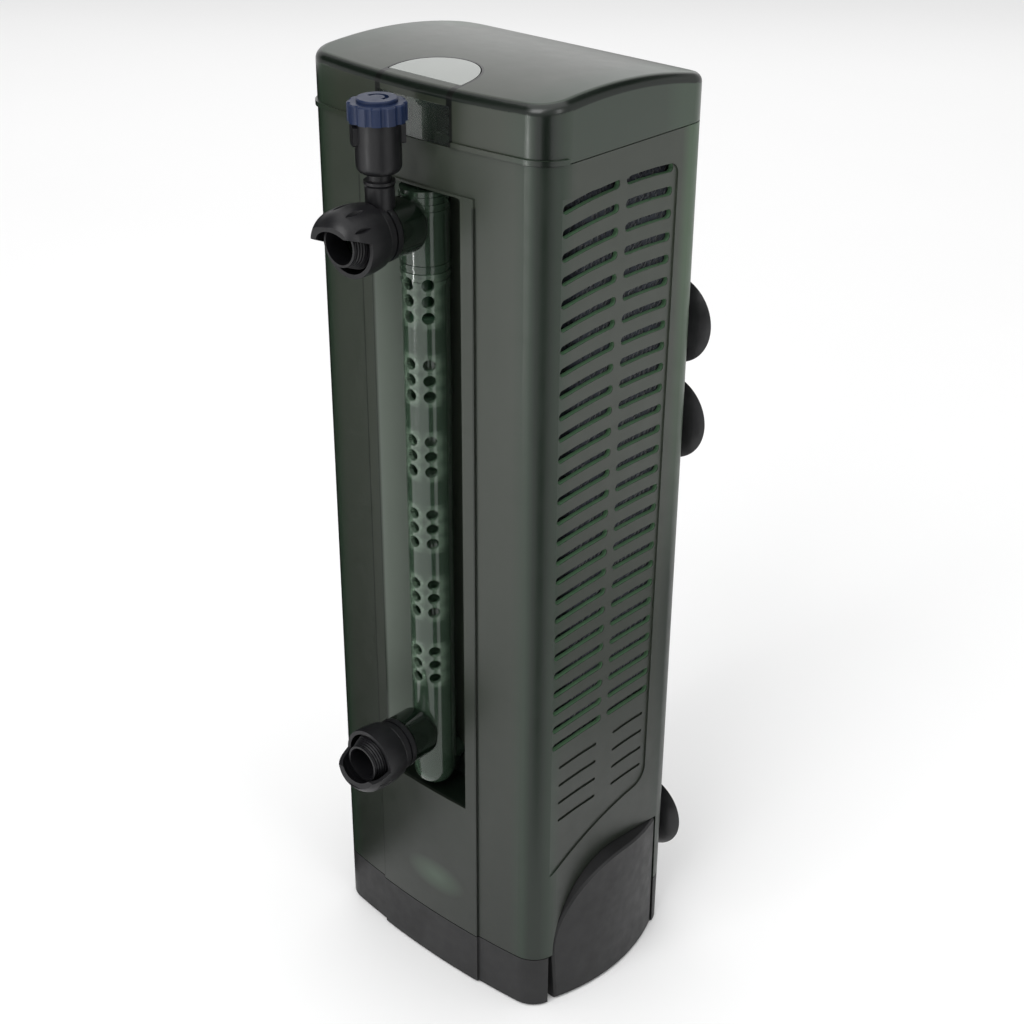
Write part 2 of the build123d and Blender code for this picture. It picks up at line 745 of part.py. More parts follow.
def impeller_shaft():
    shaft = rod(shaft_radius, (0, pump_y, well_bottom + 0.2), (0, pump_y, volute_top - 1.6))
    return chamfer(shaft.edges(), 0.3)


def impeller_magnet():
    magnet = rod(magnet_radius, (0, pump_y, 34), (0, pump_y, 71))
    magnet = chamfer(magnet.edges(), 0.5)
    return magnet - rod(shaft_radius + 0.06, (0, pump_y, 30), (0, pump_y, 75))


def impeller_wheel():
    """Six curved blades on a hub and a back disc."""
    hub = rod(3.6, (0, pump_y, 71), (0, pump_y, 90))
    disc = rod(wheel_radius, (0, pump_y, 78.5), (0, pump_y, 80))
    wheel = hub + disc
    for blade in range(6):
        curve = ThreePointArc((3.0, 0), (9.5, 3.4), (wheel_radius - 0.4, 3.0))
        vane = extrude(trace(curve, 1.3), amount=10)
        wheel += Pos(0, pump_y, 79.5) * Rot(0, 0, 60 * blade) * vane
    return wheel - rod(shaft_radius + 0.06, (0, pump_y, 70), (0, pump_y, 92))


def impeller_cover():
    """The snap-on volute with a grated intake on top and the outlet pipe to the tube."""
    inner = volute_radius - 2.2
    outlet_start = (0, pump_y - 10, outlet_z)
    outlet_end = (0, recess_floor_y + 2.0, outlet_z)
    cover = rod(volute_radius, (0, pump_y, motor_top), (0, pump_y, volute_top))
    cover = fillet(cover.edges().sort_by(Axis.Z)[-1], 2.0)
    flange = extrude(Pos(0, 1, motor_top) * RectangleRounded(62, 47, 8), amount=2.4)
    cover = cover + flange + rod(7.0, outlet_start, outlet_end)
    cover -= rod(inner, (0, pump_y, motor_top - 1), (0, pump_y, volute_top - 2.2))
    cover -= rod(4.6, outlet_start, (0, -30, outlet_z))
    for spoke in range(8):
        slot = extrude(Pos(9.0, 0, 0) * SlotOverall(8.0, 3.0), amount=8)
        cover -= Pos(0, pump_y, volute_top - 4) * Rot(0, 0, 45 * spoke) * slot
    cover += rod(5.0, (0, pump_y, volute_top - 4.2), (0, pump_y, volute_top - 2.0))
    return cover - rod(shaft_radius, (0, pump_y, volute_top - 5), (0, pump_y, volute_top - 1.5))


def pump_deck():
    """The plate that closes the pump chamber, with a grated well over the intake."""
    deck = column(plan(-case_wall - 0.4), deck_bottom, deck_top)
    deck -= recess_prism(recess_wall + 0.4, deck_bottom - 1, deck_top + 1)
    for ring, count in ((5.0, 6), (11.0, 12), (17.0, 18)):
        for step in range(count):
            angle = radians(360 / count * step)
            x = ring * cos(angle)
            y = pump_y + ring * sin(angle)
            deck -= rod(1.5, (x, y, deck_bottom - 1), (x, y, deck_top + 1))
    return deck


def deck_seal():
    seal = column(plan(-case_wall - 0.1), deck_bottom - 2.2, deck_bottom - 0.1)
    seal -= column(plan(-case_wall - 2.6), deck_bottom - 3, deck_bottom)
    return seal - recess_prism(recess_wall + 0.4, deck_bottom - 3, deck_top)


def cable_gland():
    gland = rod(4.0, (gland_x, back_y - 4, gland_z), (gland_x, back_y, gland_z))
    gland += rod(5.2, (gland_x, back_y, gland_z), (gland_x, back_y + 1.6, gland_z))
    gland += rod(5.2, (gland_x, back_y - case_wall - 1.6, gland_z), (gland_x, back_y - case_wall, gland_z))
    nose = Plane(origin=(gland_x, back_y + 1.6, gland_z), z_dir=(0, 1, 0)) * Cone(
        4.8, 4.2, 4.4, align=(Align.CENTER, Align.CENTER, Align.MIN))
    gland += nose
    return gland - rod(gland_bore, (gland_x, 30, gland_z), (gland_x, 46, gland_z))


# ---------------------------------------------------------------- filter media

def foam_pad(side):
    pad = box(foam_inner_x, foam_outer_x, -25.5, 29.0, media_bottom, media_top)
    pad = chamfer(pad.edges().filter_by(Axis.Z), 1.2)
    return pad if side > 0 else mirror(pad, about=Plane.YZ)


def media_frame():
    """The lift-out rack: two grid sides, a floor, a middle shelf and a back wall."""
    x0, x1 = foam_inner_x - 2.0, foam_inner_x - 0.3
    side = box(x0, x1, -20, 29, media_bottom, media_top - 4)
    for row in range(6):
        for step in range(3):
            z = media_bottom + 6 + row * 31
            y = -16 + step * 14.5
            side -= box(x0 - 1, x1 + 1, y, y + 11, z, z + 26)
    rack = side + mirror(side, about=Plane.YZ)
    for z in (media_bottom, shelf_z):
        shelf = box(-x1, x1, -20, 29, z, z + 1.8)
        for step in range(5):
            shelf -= box(-26 + step * 11, -18 + step * 11, -15, 22, z - 1, z + 3)
        rack += shelf
    return rack + box(-x1, x1, 27.2, 29, media_bottom, media_top - 4)


def carbon_cartridge(side):
    """A flat cassette of carbon with a ribbed face on each side."""
    case = box(3, 30.5, -18.5, 26.5, media_bottom + 2.4, shelf_z - 1.2)
    case = chamfer(case.edges().filter_by(Axis.Z), 2.0)
    for step in range(9):
        z = media_bottom + 8 + step * 8.8
        case -= box(0, 4.2, -14, 22, z, z + 5.4) + box(29.3, 40, -14, 22, z, z + 5.4)
    return case if side > 0 else mirror(case, about=Plane.YZ)


def bio_tray():
    """The open basket for the ceramic rings."""
    outer = extrude(Pos(0, 4, 192.2) * RectangleRounded(61, 45, 5), amount=94)
    tray = outer - extrude(Pos(0, 4, 193.8) * RectangleRounded(57.8, 41.8, 3.4), amount=100)
    for column_index in range(5):
        x = -22 + 11 * column_index
        for row in range(4):
            z = 197 + 22 * row
            window = Plane.XZ.offset(60) * Pos(x, z + 8) * SlotOverall(16, 4, rotation=90)
            tray -= extrude(window, amount=-120)
            tray -= extrude(Pos(x, 4, 190) * SlotOverall(30, 4, rotation=90), amount=5)
    return tray


def tray_handle():
    bail = box(-30.4, -28.9, 0, 8, 278, 297) + box(28.9, 30.4, 0, 8, 278, 297)
    bail += box(-30.4, 30.4, 0, 8, 295.4, 297)
    bail -= extrude(Pos(0, 4, 294) * SlotOverall(30, 4), amount=5)
    tray_wall = extrude(Pos(0, 4, 192.2) * RectangleRounded(61.2, 45.2, 5), amount=94.2)
    return bail - tray_wall


def ceramic_rings():
    rings = []
    for layer in range(5):
        for i in range(4):
            for j in range(3):
                x = -20.4 + 13.6 * i
                y = -9.4 + 13.4 * j
                z = 195 + layer * 16.5
                rings.append(tube(6.2, 2.9, (x, y, z), (x, y, z + 14.5)))
    return Compound(children=rings)


# ---------------------------------------------------------------- wall bracket

def bracket_plate():
    """The plate that stays on the glass; its keyholes drop over the casing's hooks."""
    width = 2 * bracket_half
    height = bracket_top - bracket_bottom
    face = Pos(0, (bracket_top + bracket_bottom) / 2) * Rectangle(width, height)
    face = chamfer(face.vertices(), 5.0)
    thickness = bracket_back_y - bracket_front_y
    plate = extrude(Plane.XZ.offset(-bracket_front_y) * face, amount=thickness, dir=(0, 1, 0))
    plate = chamfer(plate.faces().sort_by(Axis.Y)[-1].edges(), 0.8)
    for x, z in hook_places:
        plate -= box(x - 2.6, x + 2.6, 30, 42, z - 2.6, z + bracket_travel + 2.6)
        plate -= box(x - 5.2, x + 5.2, 30, 42, z + bracket_travel - 3.2, z + bracket_travel + 3.2)
    for z in cup_heights:
        for x in (-cup_x, cup_x):
            plate -= rod(3.4, (x, 30, z), (x, 42, z))
    return plate


def suction_cup(x, z):
    """A rubber cup: a dished disc on a short stem that plugs into the bracket."""
    stem = bracket_back_y - bracket_front_y
    rim = cup_rim_y - bracket_front_y
    profile = make_face([
        Line((0, 0.2), (3.4, 0.2)),
        Line((3.4, 0.2), (3.4, stem)),
        Line((3.4, stem), (6.0, stem)),
        ThreePointArc((6.0, stem), (11.6, stem + 1.5), (cup_radius, rim - 0.4)),
        Line((cup_radius, rim - 0.4), (cup_radius - 0.5, rim)),
        ThreePointArc((cup_radius - 0.5, rim), (10.0, stem + 2.6), (4.0, stem + 1.8)),
        Line((4.0, stem + 1.8), (0, stem + 1.8)),
        Line((0, stem + 1.8), (0, 0.2)),
    ])
    cup = revolve(Plane.XZ * profile, Axis.Z)
    return Plane(origin=(x, bracket_front_y, z), z_dir=(0, 1, 0)) * cup


parts = {
    "casing_shell": casing_shell,
    "base_cover": base_cover,
    "grip_left": lambda: grip(-1),
    "grip_right": lambda: grip(1),
    "diffuser_tube": diffuser_tube,
    "top_port": lambda: port(top_port_z),
    "bottom_port": lambda: port(bottom_port_z),
    "top_port_seal": lambda: port_seal(top_port_z),
    "bottom_port_seal": lambda: port_seal(bottom_port_z),
    "top_collar": top_collar,
    "bottom_collar": lambda: collar(bottom_port_z),
    "air_valve_body": air_valve_body,
    "air_knob": air_knob,
    "air_needle": air_needle,
    "top_nozzle_hood": lambda: nozzle_hood(top_port_z, top_nozzle_turn),
    "top_nozzle_spout": lambda: nozzle_spout(top_port_z, top_nozzle_turn),
    "bottom_nozzle_hood": lambda: nozzle_hood(bottom_port_z, bottom_nozzle_turn),
    "bottom_nozzle_spout": lambda: nozzle_spout(bottom_port_z, bottom_nozzle_turn),
    "lid": lid,
    "lid_window": lid_window,
    "lid_button": lid_button,
    "lid_latch": lid_latch,
    "lid_hinge_pins": hinge_pins,
    "selector_lever": selector_lever,
    "selector_rod": selector_rod,
    "shuttle_valve": shuttle_valve,
    "motor_housing": motor_housing,
    "motor_end_plate": motor_end_plate,
    "stator_core": stator_core,
    "stator_coil": stator_coil,
    "lower_bush": lambda: shaft_bush(well_bottom + 0.1),
    "impeller_shaft": impeller_shaft,
    "impeller_magnet": impeller_magnet,
    "impeller_wheel": impeller_wheel,
    "impeller_cover": impeller_cover,
    "pump_deck": pump_deck,
    "deck_seal": deck_seal,
    "cable_gland": cable_gland,
    "foam_pad_left": lambda: foam_pad(-1),
    "foam_pad_right": lambda: foam_pad(1),
    "media_frame": media_frame,
    "carbon_cartridge_left": lambda: carbon_cartridge(-1),
    "carbon_cartridge_right": lambda: carbon_cartridge(1),
    "bio_tray": bio_tray,
    "tray_handle": tray_handle,
    "ceramic_rings": ceramic_rings,
    "bracket_plate": bracket_plate,
}
for name, make in parts.items():
    save(make(), name)
for index, z in enumerate(cup_heights):
    for side, x in (("left", -cup_x), ("right", cup_x)):
        save(suction_cup(x, z), f"suction_cup_{index + 1}_{side}")
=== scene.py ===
import json
import math

import bmesh
import bpy
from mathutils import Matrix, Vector


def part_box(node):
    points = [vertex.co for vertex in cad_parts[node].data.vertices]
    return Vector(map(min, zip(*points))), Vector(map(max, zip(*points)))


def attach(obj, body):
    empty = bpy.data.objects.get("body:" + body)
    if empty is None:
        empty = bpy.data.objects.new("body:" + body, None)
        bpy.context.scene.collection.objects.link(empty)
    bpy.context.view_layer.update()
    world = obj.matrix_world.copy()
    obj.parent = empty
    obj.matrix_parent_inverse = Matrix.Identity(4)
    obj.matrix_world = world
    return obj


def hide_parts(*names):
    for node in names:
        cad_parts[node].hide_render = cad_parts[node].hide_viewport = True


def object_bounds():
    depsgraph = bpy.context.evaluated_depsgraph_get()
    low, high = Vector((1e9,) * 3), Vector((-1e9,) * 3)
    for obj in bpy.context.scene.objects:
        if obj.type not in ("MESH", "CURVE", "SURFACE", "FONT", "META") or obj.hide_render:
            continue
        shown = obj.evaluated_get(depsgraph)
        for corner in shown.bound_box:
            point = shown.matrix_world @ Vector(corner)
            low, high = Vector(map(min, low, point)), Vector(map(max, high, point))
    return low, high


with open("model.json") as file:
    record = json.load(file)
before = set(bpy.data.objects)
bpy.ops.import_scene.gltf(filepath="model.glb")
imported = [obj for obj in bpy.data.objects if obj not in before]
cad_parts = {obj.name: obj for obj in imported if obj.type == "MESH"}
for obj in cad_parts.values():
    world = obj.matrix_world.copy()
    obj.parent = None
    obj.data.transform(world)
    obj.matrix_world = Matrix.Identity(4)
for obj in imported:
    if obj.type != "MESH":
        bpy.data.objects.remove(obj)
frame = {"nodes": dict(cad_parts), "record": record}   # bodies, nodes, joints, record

MM = 0.001
cad_low, cad_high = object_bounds()

# Camera: above the filter's front right-hand corner. The turn is in degrees.
camera_place = (0.34924, -0.37713, 0.44713)
camera_turn = (61.604, -0.299, 42.667)
camera_lens = 60.845

# Regions of the casing that differ in colour, most of them by painted light or shade, as (low, high, soft
# edge) in millimetres:
# across is the distance from the middle on either side, depth runs along Y, up along Z.
outside = 60   # past every surface
# Front corners: deep green, partly for their thick wall and partly as painted shade.
thick_shaded_corners = {"across": (43, outside, 6), "depth": (-outside, -30, 6)}
# Back edges: painted light coming through the wall, greener higher up.
glowing_back_edges = {"across": (44, outside, 3), "depth": (27, outside, 4)}
# Slot walls: painted light coming through the thin plastic.
glowing_slot_walls = {"across": (46.9, 48.7, 0.15), "depth": (-29, 20, 0.5), "up": (104, 296, 1)}
# Recess sides: a painted reflection of soft light.
recess_side_reflection = {"across": (12.6, 18.8, 0.6), "depth": (-38.4, -26.8, 0.8), "up": (80, 290, 3)}
# Recess foot: painted shade at the bottom of the recess.
recess_foot_shade = {"across": (0, 18.4, 0.3), "depth": (-38.4, -24, 0.4), "up": (70, 82, 6)}
front_wall = {"depth": (-outside, -36, 1)}
# Strip edges: painted shade along the steps at each side of the front strip.
strip_edge_shade = {"across": (23.2, 23.9, 0.3), "depth": (-outside, -36, 1), "up": (21.7, 290, 1)}

# The same for the lid.
lid_ends = {"across": (42, outside, 10)}
lid_back_ends = {"across": (42, outside, 10), "depth": (22, outside, 8)}

# Places found by the way they face: parts of the surface normal, as (low, high, soft edge).
# These place painted shade: on the lid's rim and down the middle of the front corners.
rim_shade_upward = (0.12, 0.90, 0.05)
corner_sideways = (0.50, 0.80, 0.22)
corner_forward = (-1.0, -0.35, 0.2)

# Heights between which the painted shade low on the casing fades out, and between which the painted light
# through its back edges grows greener.
shade_fades_from = 40 * MM
shade_fades_to = 300 * MM
back_glow_from = 150 * MM
back_glow_to = 265 * MM

# Pale patch low on the front, where light comes through the empty pump chamber.
glow_x = 4 * MM
glow_z = 39 * MM
glow_reach = 7 * MM
glow_squash = 0.5

# Painted shade in the gap round the press tongue: a dark line inside and outside its edge.
tongue_shade_in = 1 * MM
tongue_shade_out = 0.9 * MM

# Holes of the diffuser tube: the turn between columns, the groups and the rows in each.
hole_turn = math.radians(50)
hole_groups = 6
hole_group_top = 257.5 * MM
hole_group_pitch = 25.7 * MM
hole_row_pitch = 5.2 * MM
hole_edge = 2.0 * MM
halo_edge = 3.9 * MM

# Foam pads: shrunk a little, swelled by simulation, and capped.
foam_inset = 0.9 * MM
foam_round = 2.0 * MM
foam_voxel = 2.6 * MM
foam_cap = 1.1 * MM
foam_steps = 14

# Studio: the floor's side, the strength of the white surroundings, and where the lamps aim.
floor_side = 12.0
sky_strength = 0.62
middle = (0.0, 0.0, 0.18)


# ---------------------------------------------------------------- shader helpers

def material(name):
    """A new material, its node tree and its Principled shader."""
    mat = bpy.data.materials.new(name)
    mat.use_nodes = True
    shader = mat.node_tree.nodes["Principled BSDF"]
    return mat, mat.node_tree, shader


def node(tree, kind, **inputs):
    """A new shader node with some of its inputs set; an underscore stands for a space."""
    made = tree.nodes.new(kind)
    for name, value in inputs.items():
        made.inputs[name.replace("_", " ")].default_value = value
    return made


def place(tree):
    """Positions in metres in the object's own space."""
    return tree.nodes.new("ShaderNodeTexCoord").outputs["Object"]


def noise(tree, scale, detail=3.0, stretch=None):
    """Cloudy noise from 0 to 1; stretch squeezes it along an axis."""
    made = node(tree, "ShaderNodeTexNoise", Scale=scale, Detail=detail)
    where = place(tree)
    if stretch:
        squeeze = node(tree, "ShaderNodeMapping", Scale=stretch)
        tree.links.new(where, squeeze.inputs["Vector"])
        where = squeeze.outputs["Vector"]
    tree.links.new(where, made.inputs["Vector"])
    return made.outputs["Fac"]


def cells(tree, scale):
    """Distance to the nearest of many scattered points."""
    made = node(tree, "ShaderNodeTexVoronoi", Scale=scale)
    tree.links.new(place(tree), made.inputs["Vector"])
    return made.outputs["Distance"]


def ramp(tree, value, low, high, out_low=0.0, out_high=1.0):
    """Maps a value from one range to another, clamped."""
    made = node(tree, "ShaderNodeMapRange", From_Min=low, From_Max=high, To_Min=out_low, To_Max=out_high)
    tree.links.new(value, made.inputs["Value"])
    return made.outputs["Result"]


def mix(tree, share, first, second):
    """Blends two colours, each a tuple or another node's output, by share."""
    made = tree.nodes.new("ShaderNodeMix")
    made.data_type = "RGBA"
    tree.links.new(share, made.inputs["Factor"])
    for socket, colour in ((made.inputs["A"], first), (made.inputs["B"], second)):
        if isinstance(colour, tuple):
            socket.default_value = (*colour, 1.0)
        else:
            tree.links.new(colour, socket)
    return made.outputs["Result"]


def math_node(tree, operation, *values):
    """A Math node on numbers or other nodes' outputs."""
    made = tree.nodes.new("ShaderNodeMath")
    made.operation = operation
    for socket, value in zip(made.inputs, values):
        if isinstance(value, (int, float)):
            socket.default_value = value
        else:
            tree.links.new(value, socket)
    return made.outputs["Value"]


def along(tree, axis):
    """The object-space coordinate along X, Y or Z, in metres."""
    split = tree.nodes.new("ShaderNodeSeparateXYZ")
    tree.links.new(place(tree), split.inputs["Vector"])
    return split.outputs[axis]


def from_middle(tree):
    """Distance from the middle plane, the same on the left and the right."""
    return math_node(tree, "ABSOLUTE", along(tree, "X"))


def facing(tree, axis):
    """The surface normal's X, Y or Z part in the object's own space."""
    split = tree.nodes.new("ShaderNodeSeparateXYZ")
    tree.links.new(tree.nodes.new("ShaderNodeTexCoord").outputs["Normal"], split.inputs["Vector"])
    return split.outputs[axis]


def band(tree, value, low, high, soft):
    """1 between low and high, fading to 0 over soft on both sides."""
    rise = ramp(tree, value, low - soft, low)
    fall = ramp(tree, value, high, high + soft, 1.0, 0.0)
    return math_node(tree, "MULTIPLY", rise, fall)


def both(tree, *masks):
    """The product of several masks."""
    product = masks[0]
    for mask in masks[1:]:
        product = math_node(tree, "MULTIPLY", product, mask)
    return product


def region(tree, across=None, depth=None, up=None):
    """1 inside a box whose sides are given as (low, high, soft edge) in millimetres."""
    masks = []
    if across:
        masks.append(band(tree, from_middle(tree), *(edge * MM for edge in across)))
    if depth:
        masks.append(band(tree, along(tree, "Y"), *(edge * MM for edge in depth)))
    if up:
        masks.append(band(tree, along(tree, "Z"), *(edge * MM for edge in up)))
    return both(tree, *masks)


def front_corner_shade(tree):
    """1 along the middle of the two rounded front corners, where a band of painted shade goes."""
    sideways = math_node(tree, "ABSOLUTE", facing(tree, "X"))
    return both(tree, band(tree, sideways, *corner_sideways), band(tree, facing(tree, "Y"), *corner_forward))


def paint(tree, body, mask, colour, most=1.0):
    """Blends a colour over the body where the mask is 1, or at most by the share given."""
    if most < 1.0:
        mask = math_node(tree, "MULTIPLY", mask, most)
    return mix(tree, mask, body, colour)


def radius_of(tree, first, second):
    """Distance from the origin of a pair of coordinates."""
    squares = [math_node(tree, "MULTIPLY", part, part) for part in (first, second)]
    return math_node(tree, "SQRT", math_node(tree, "ADD", *squares))


def bump(tree, shader, height, distance, strength=1.0):
    """Raises the surface's shading where height is high."""
    made = node(tree, "ShaderNodeBump", Strength=strength, Distance=distance)
    tree.links.new(height, made.inputs["Height"])
    tree.links.new(made.outputs["Normal"], shader.inputs["Normal"])


def edge_mask(tree, radius):
    """Near 1 along outer and inner edges, where a rounded normal leaves the flat one."""
    rounded = node(tree, "ShaderNodeBevel", Radius=radius)
    rounded.samples = 4
    flat = tree.nodes.new("ShaderNodeNewGeometry").outputs["Normal"]
    dot = tree.nodes.new("ShaderNodeVectorMath")
    dot.operation = "DOT_PRODUCT"
    tree.links.new(rounded.outputs["Normal"], dot.inputs[0])
    tree.links.new(flat, dot.inputs[1])
    return ramp(tree, dot.outputs["Value"], 0.97, 0.8)


def set_inputs(tree, shader, colour, rough):
    """Links a colour and a roughness that vary over the surface."""
    tree.links.new(colour, shader.inputs["Base Color"])
    tree.links.new(rough, shader.inputs["Roughness"])


# ---------------------------------------------------------------- materials

def moulded(name, colour, rough, grain=0.02, grain_scale=2600.0, wear=0.35, specular=0.5):
    """Satin moulded plastic: fine spark-eroded grain, mottling, and polish on the edges."""
    mat, tree, shader = material(name)
    light = tuple(min(1.0, part * 1.22 + 0.002) for part in colour)
    dark = tuple(part * 0.82 for part in colour)
    worn = tuple(min(1.0, part * (1 + 1.3 * wear) + 0.012 * wear) for part in colour)
    mottle = ramp(tree, noise(tree, scale=38.0, detail=4.0), 0.32, 0.68)
    patchy = ramp(tree, noise(tree, scale=160.0), 0.35, 0.7, 0.25, 1.0)
    rub = math_node(tree, "MULTIPLY", edge_mask(tree, 0.5 * MM), patchy)
    satin = ramp(tree, noise(tree, scale=220.0, detail=5.0), 0.3, 0.7, rough - 0.05, rough + 0.06)
    polish = math_node(tree, "MULTIPLY", rub, 0.08)
    body = paint(tree, mix(tree, mottle, dark, light), rub, worn)
    set_inputs(tree, shader, body, math_node(tree, "SUBTRACT", satin, polish))
    shader.inputs["Specular IOR Level"].default_value = specular
    bump(tree, shader, noise(tree, scale=grain_scale, detail=2.0), distance=grain * MM)
    return mat


def smoked(name, colour, deep, rough, transmission, coat=0.0, flow=0.03, haze=0.045, tint=None):
    """Smoked translucent plastic with faint vertical flow marks and fine haze."""
    mat, tree, shader = material(name)
    streaks = ramp(tree, noise(tree, scale=26.0, detail=4.0, stretch=(1.0, 1.0, 0.16)), 0.3, 0.7)
    cloud = ramp(tree, noise(tree, scale=14.0, detail=2.0), 0.3, 0.7, 0.4, 1.0)
    body = mix(tree, math_node(tree, "MULTIPLY", streaks, cloud), colour, deep)
    if tint:
        body = tint(tree, body)
    set_inputs(tree, shader, body,
               ramp(tree, noise(tree, scale=190.0, detail=5.0), 0.3, 0.7, rough - haze, rough + haze))
    shader.inputs["Transmission Weight"].default_value = transmission
    shader.inputs["IOR"].default_value = 1.49
    shader.inputs["Coat Weight"].default_value = coat
    shader.inputs["Coat Roughness"].default_value = 0.12
    bump(tree, shader, noise(tree, scale=420.0, detail=2.0), distance=flow * MM, strength=0.5)
    return mat


def chamber_glow(tree):
    """A soft oval low on the front wall."""
    aside = math_node(tree, "SUBTRACT", along(tree, "X"), glow_x)
    sideways = math_node(tree, "MULTIPLY", aside, glow_squash)
    upward = math_node(tree, "SUBTRACT", along(tree, "Z"), glow_z)
    oval = ramp(tree, radius_of(tree, sideways, upward), 0.0, glow_reach, 1.0, 0.0)
    return both(tree, oval, region(tree, **front_wall))


def casing_tint_light_and_shade(tree, body):
    """Painted light and shade on the casing: darker towards the bottom; front corners deep green, partly for
    their thick wall and partly as painted shade, with a dark band of painted shade down their middle;
    painted light through the back edges, the slot walls and low on the front; a painted reflection on the
    recess's sides; painted shade at the recess's foot and along the strip's edges.
    """
    # Painted shade: the casing is darker towards the bottom and fades to its own colour higher up.
    height = ramp(tree, along(tree, "Z"), shade_fades_from, shade_fades_to)
    body = mix(tree, height, mix(tree, height, (0.015, 0.020, 0.014), body), body)
    # Deep green on the front corners, partly for the thick wall and partly painted shade.
    body = paint(tree, body, region(tree, **thick_shaded_corners), (0.014, 0.036, 0.018), most=0.8)
    # Painted shade: a dark band down the middle of each front corner.
    body = paint(tree, body, front_corner_shade(tree), (0.006, 0.013, 0.007), most=0.85)
    # Painted light through the back edges, where no foam stands behind the wall, brighter and greener higher
    # up.
    lit = ramp(tree, along(tree, "Z"), back_glow_from, back_glow_to)
    back_edge_glow = mix(tree, lit, (0.012, 0.022, 0.013), (0.068, 0.118, 0.066))
    body = paint(tree, body, region(tree, **glowing_back_edges), back_edge_glow)
    # Painted light through the thin slot walls.
    body = paint(tree, body, region(tree, **glowing_slot_walls), (0.13, 0.25, 0.14))
    # Painted reflection: a pale soft reflection on the recess's sloping sides.
    body = paint(tree, body, region(tree, **recess_side_reflection), (0.24, 0.28, 0.24))
    body = paint(tree, body, chamber_glow(tree), (0.062, 0.100, 0.066))
    # Painted shade at the foot of the recess.
    body = paint(tree, body, region(tree, **recess_foot_shade), (0.004, 0.009, 0.005))
    # Painted shade: dark lines along the steps at the strip's edges.
    return paint(tree, body, region(tree, **strip_edge_shade), (0.003, 0.006, 0.003), most=0.7)


def tongue_gap_shade(tree):
    """A thin line of painted shade in the gap round the press tongue: straight at the front, a half circle
    behind.
    """
    tongue_far_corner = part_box("lid_button")[1]
    tongue_half = tongue_far_corner.x
    behind = math_node(tree, "SUBTRACT", along(tree, "Y"), tongue_far_corner.y - tongue_half)
    reach = radius_of(tree, from_middle(tree), math_node(tree, "MAXIMUM", behind, 0.0))
    return band(tree, reach, tongue_half - tongue_shade_in, tongue_half + tongue_shade_out, 0.25 * MM)


def lid_tint_and_shade(tree, body):
    """The lid's rounded rim is nearly black, partly for its thick wall and partly as painted shade; its ends
    are greener; painted shade darkens the front corners and the gap round the press tongue.
    """
    rim = band(tree, facing(tree, "Z"), *rim_shade_upward)
    body = paint(tree, body, region(tree, **lid_ends), (0.020, 0.042, 0.024), most=0.7)
    body = paint(tree, body, region(tree, **lid_back_ends), (0.036, 0.066, 0.038))
    # Painted shade: a dark band down the lid's front corners.
    body = paint(tree, body, front_corner_shade(tree), (0.004, 0.009, 0.005))
    # Nearly black rim, partly for its thick wall and partly painted shade.
    body = paint(tree, body, rim, (0.003, 0.008, 0.004))
    # Painted shade in the gap round the press tongue.
    return paint(tree, body, tongue_gap_shade(tree), (0.001, 0.002, 0.001))


def tube_tint(tree, body):
    """Pale green round each hole of the diffuser tube, where its wall is cut through."""
    tube_low, tube_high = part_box("diffuser_tube")
    centre_y = (tube_low.y + tube_high.y) / 2
    tube_radius = (tube_high.x - tube_low.x) / 2
    forward = math_node(tree, "SUBTRACT", centre_y, along(tree, "Y"))
    angle = math_node(tree, "ARCTAN2", along(tree, "X"), forward)
    column = math_node(tree, "WRAP", angle, hole_turn / 2, -hole_turn / 2)
    up = math_node(tree, "SUBTRACT", along(tree, "Z"), hole_group_top)
    group = math_node(tree, "WRAP", up, hole_group_pitch / 2, -hole_group_pitch / 2)
    row = math_node(tree, "WRAP", group, hole_row_pitch / 2, -hole_row_pitch / 2)
    sideways = math_node(tree, "MULTIPLY", column, tube_radius)
    halo = ramp(tree, radius_of(tree, sideways, row), hole_edge, halo_edge, 1.0, 0.0)
    half_rows = 1.6 * hole_row_pitch
    half_columns = 1.6 * hole_turn
    margin = 0.4 * hole_group_pitch
    lowest = -(hole_groups - 1) * hole_group_pitch - margin
    in_group = band(tree, group, -half_rows, half_rows, 0.5 * MM)
    in_column = band(tree, angle, -half_columns, half_columns, 0.05)
    in_rows = band(tree, up, lowest, margin, 1 * MM)
    return paint(tree, body, both(tree, halo, in_group, in_column, in_rows), (0.22, 0.31, 0.23))


def rubber(name, colour, rough):
    """Soft black rubber with dust on it."""
    mat, tree, shader = material(name)
    dusty = tuple(part * 2.2 + 0.006 for part in colour)
    dust = ramp(tree, noise(tree, scale=90.0, detail=6.0), 0.45, 0.8)
    set_inputs(tree, shader, mix(tree, dust, colour, dusty),
               ramp(tree, noise(tree, scale=300.0), 0.3, 0.7, rough - 0.07, rough + 0.07))
    shader.inputs["Sheen Weight"].default_value = 0.12
    shader.inputs["Sheen Roughness"].default_value = 0.4
    bump(tree, shader, noise(tree, scale=1500.0, detail=2.0), distance=0.02 * MM)
    return mat


def open_foam(name, colour, deep):
    """Open-cell filter foam: round pores with pale struts between them."""
    mat, tree, shader = material(name)
    fine = math_node(tree, "MULTIPLY", cells(tree, scale=1250.0), 0.4)
    struts = ramp(tree, math_node(tree, "ADD", cells(tree, scale=560.0), fine), 0.25, 0.85)
    set_inputs(tree, shader, mix(tree, struts, deep, colour), ramp(tree, struts, 0.0, 1.0, 0.95, 0.72))
    shader.inputs["Sheen Weight"].default_value = 0.25
    bump(tree, shader, struts, distance=0.6 * MM, strength=0.9)
    return mat


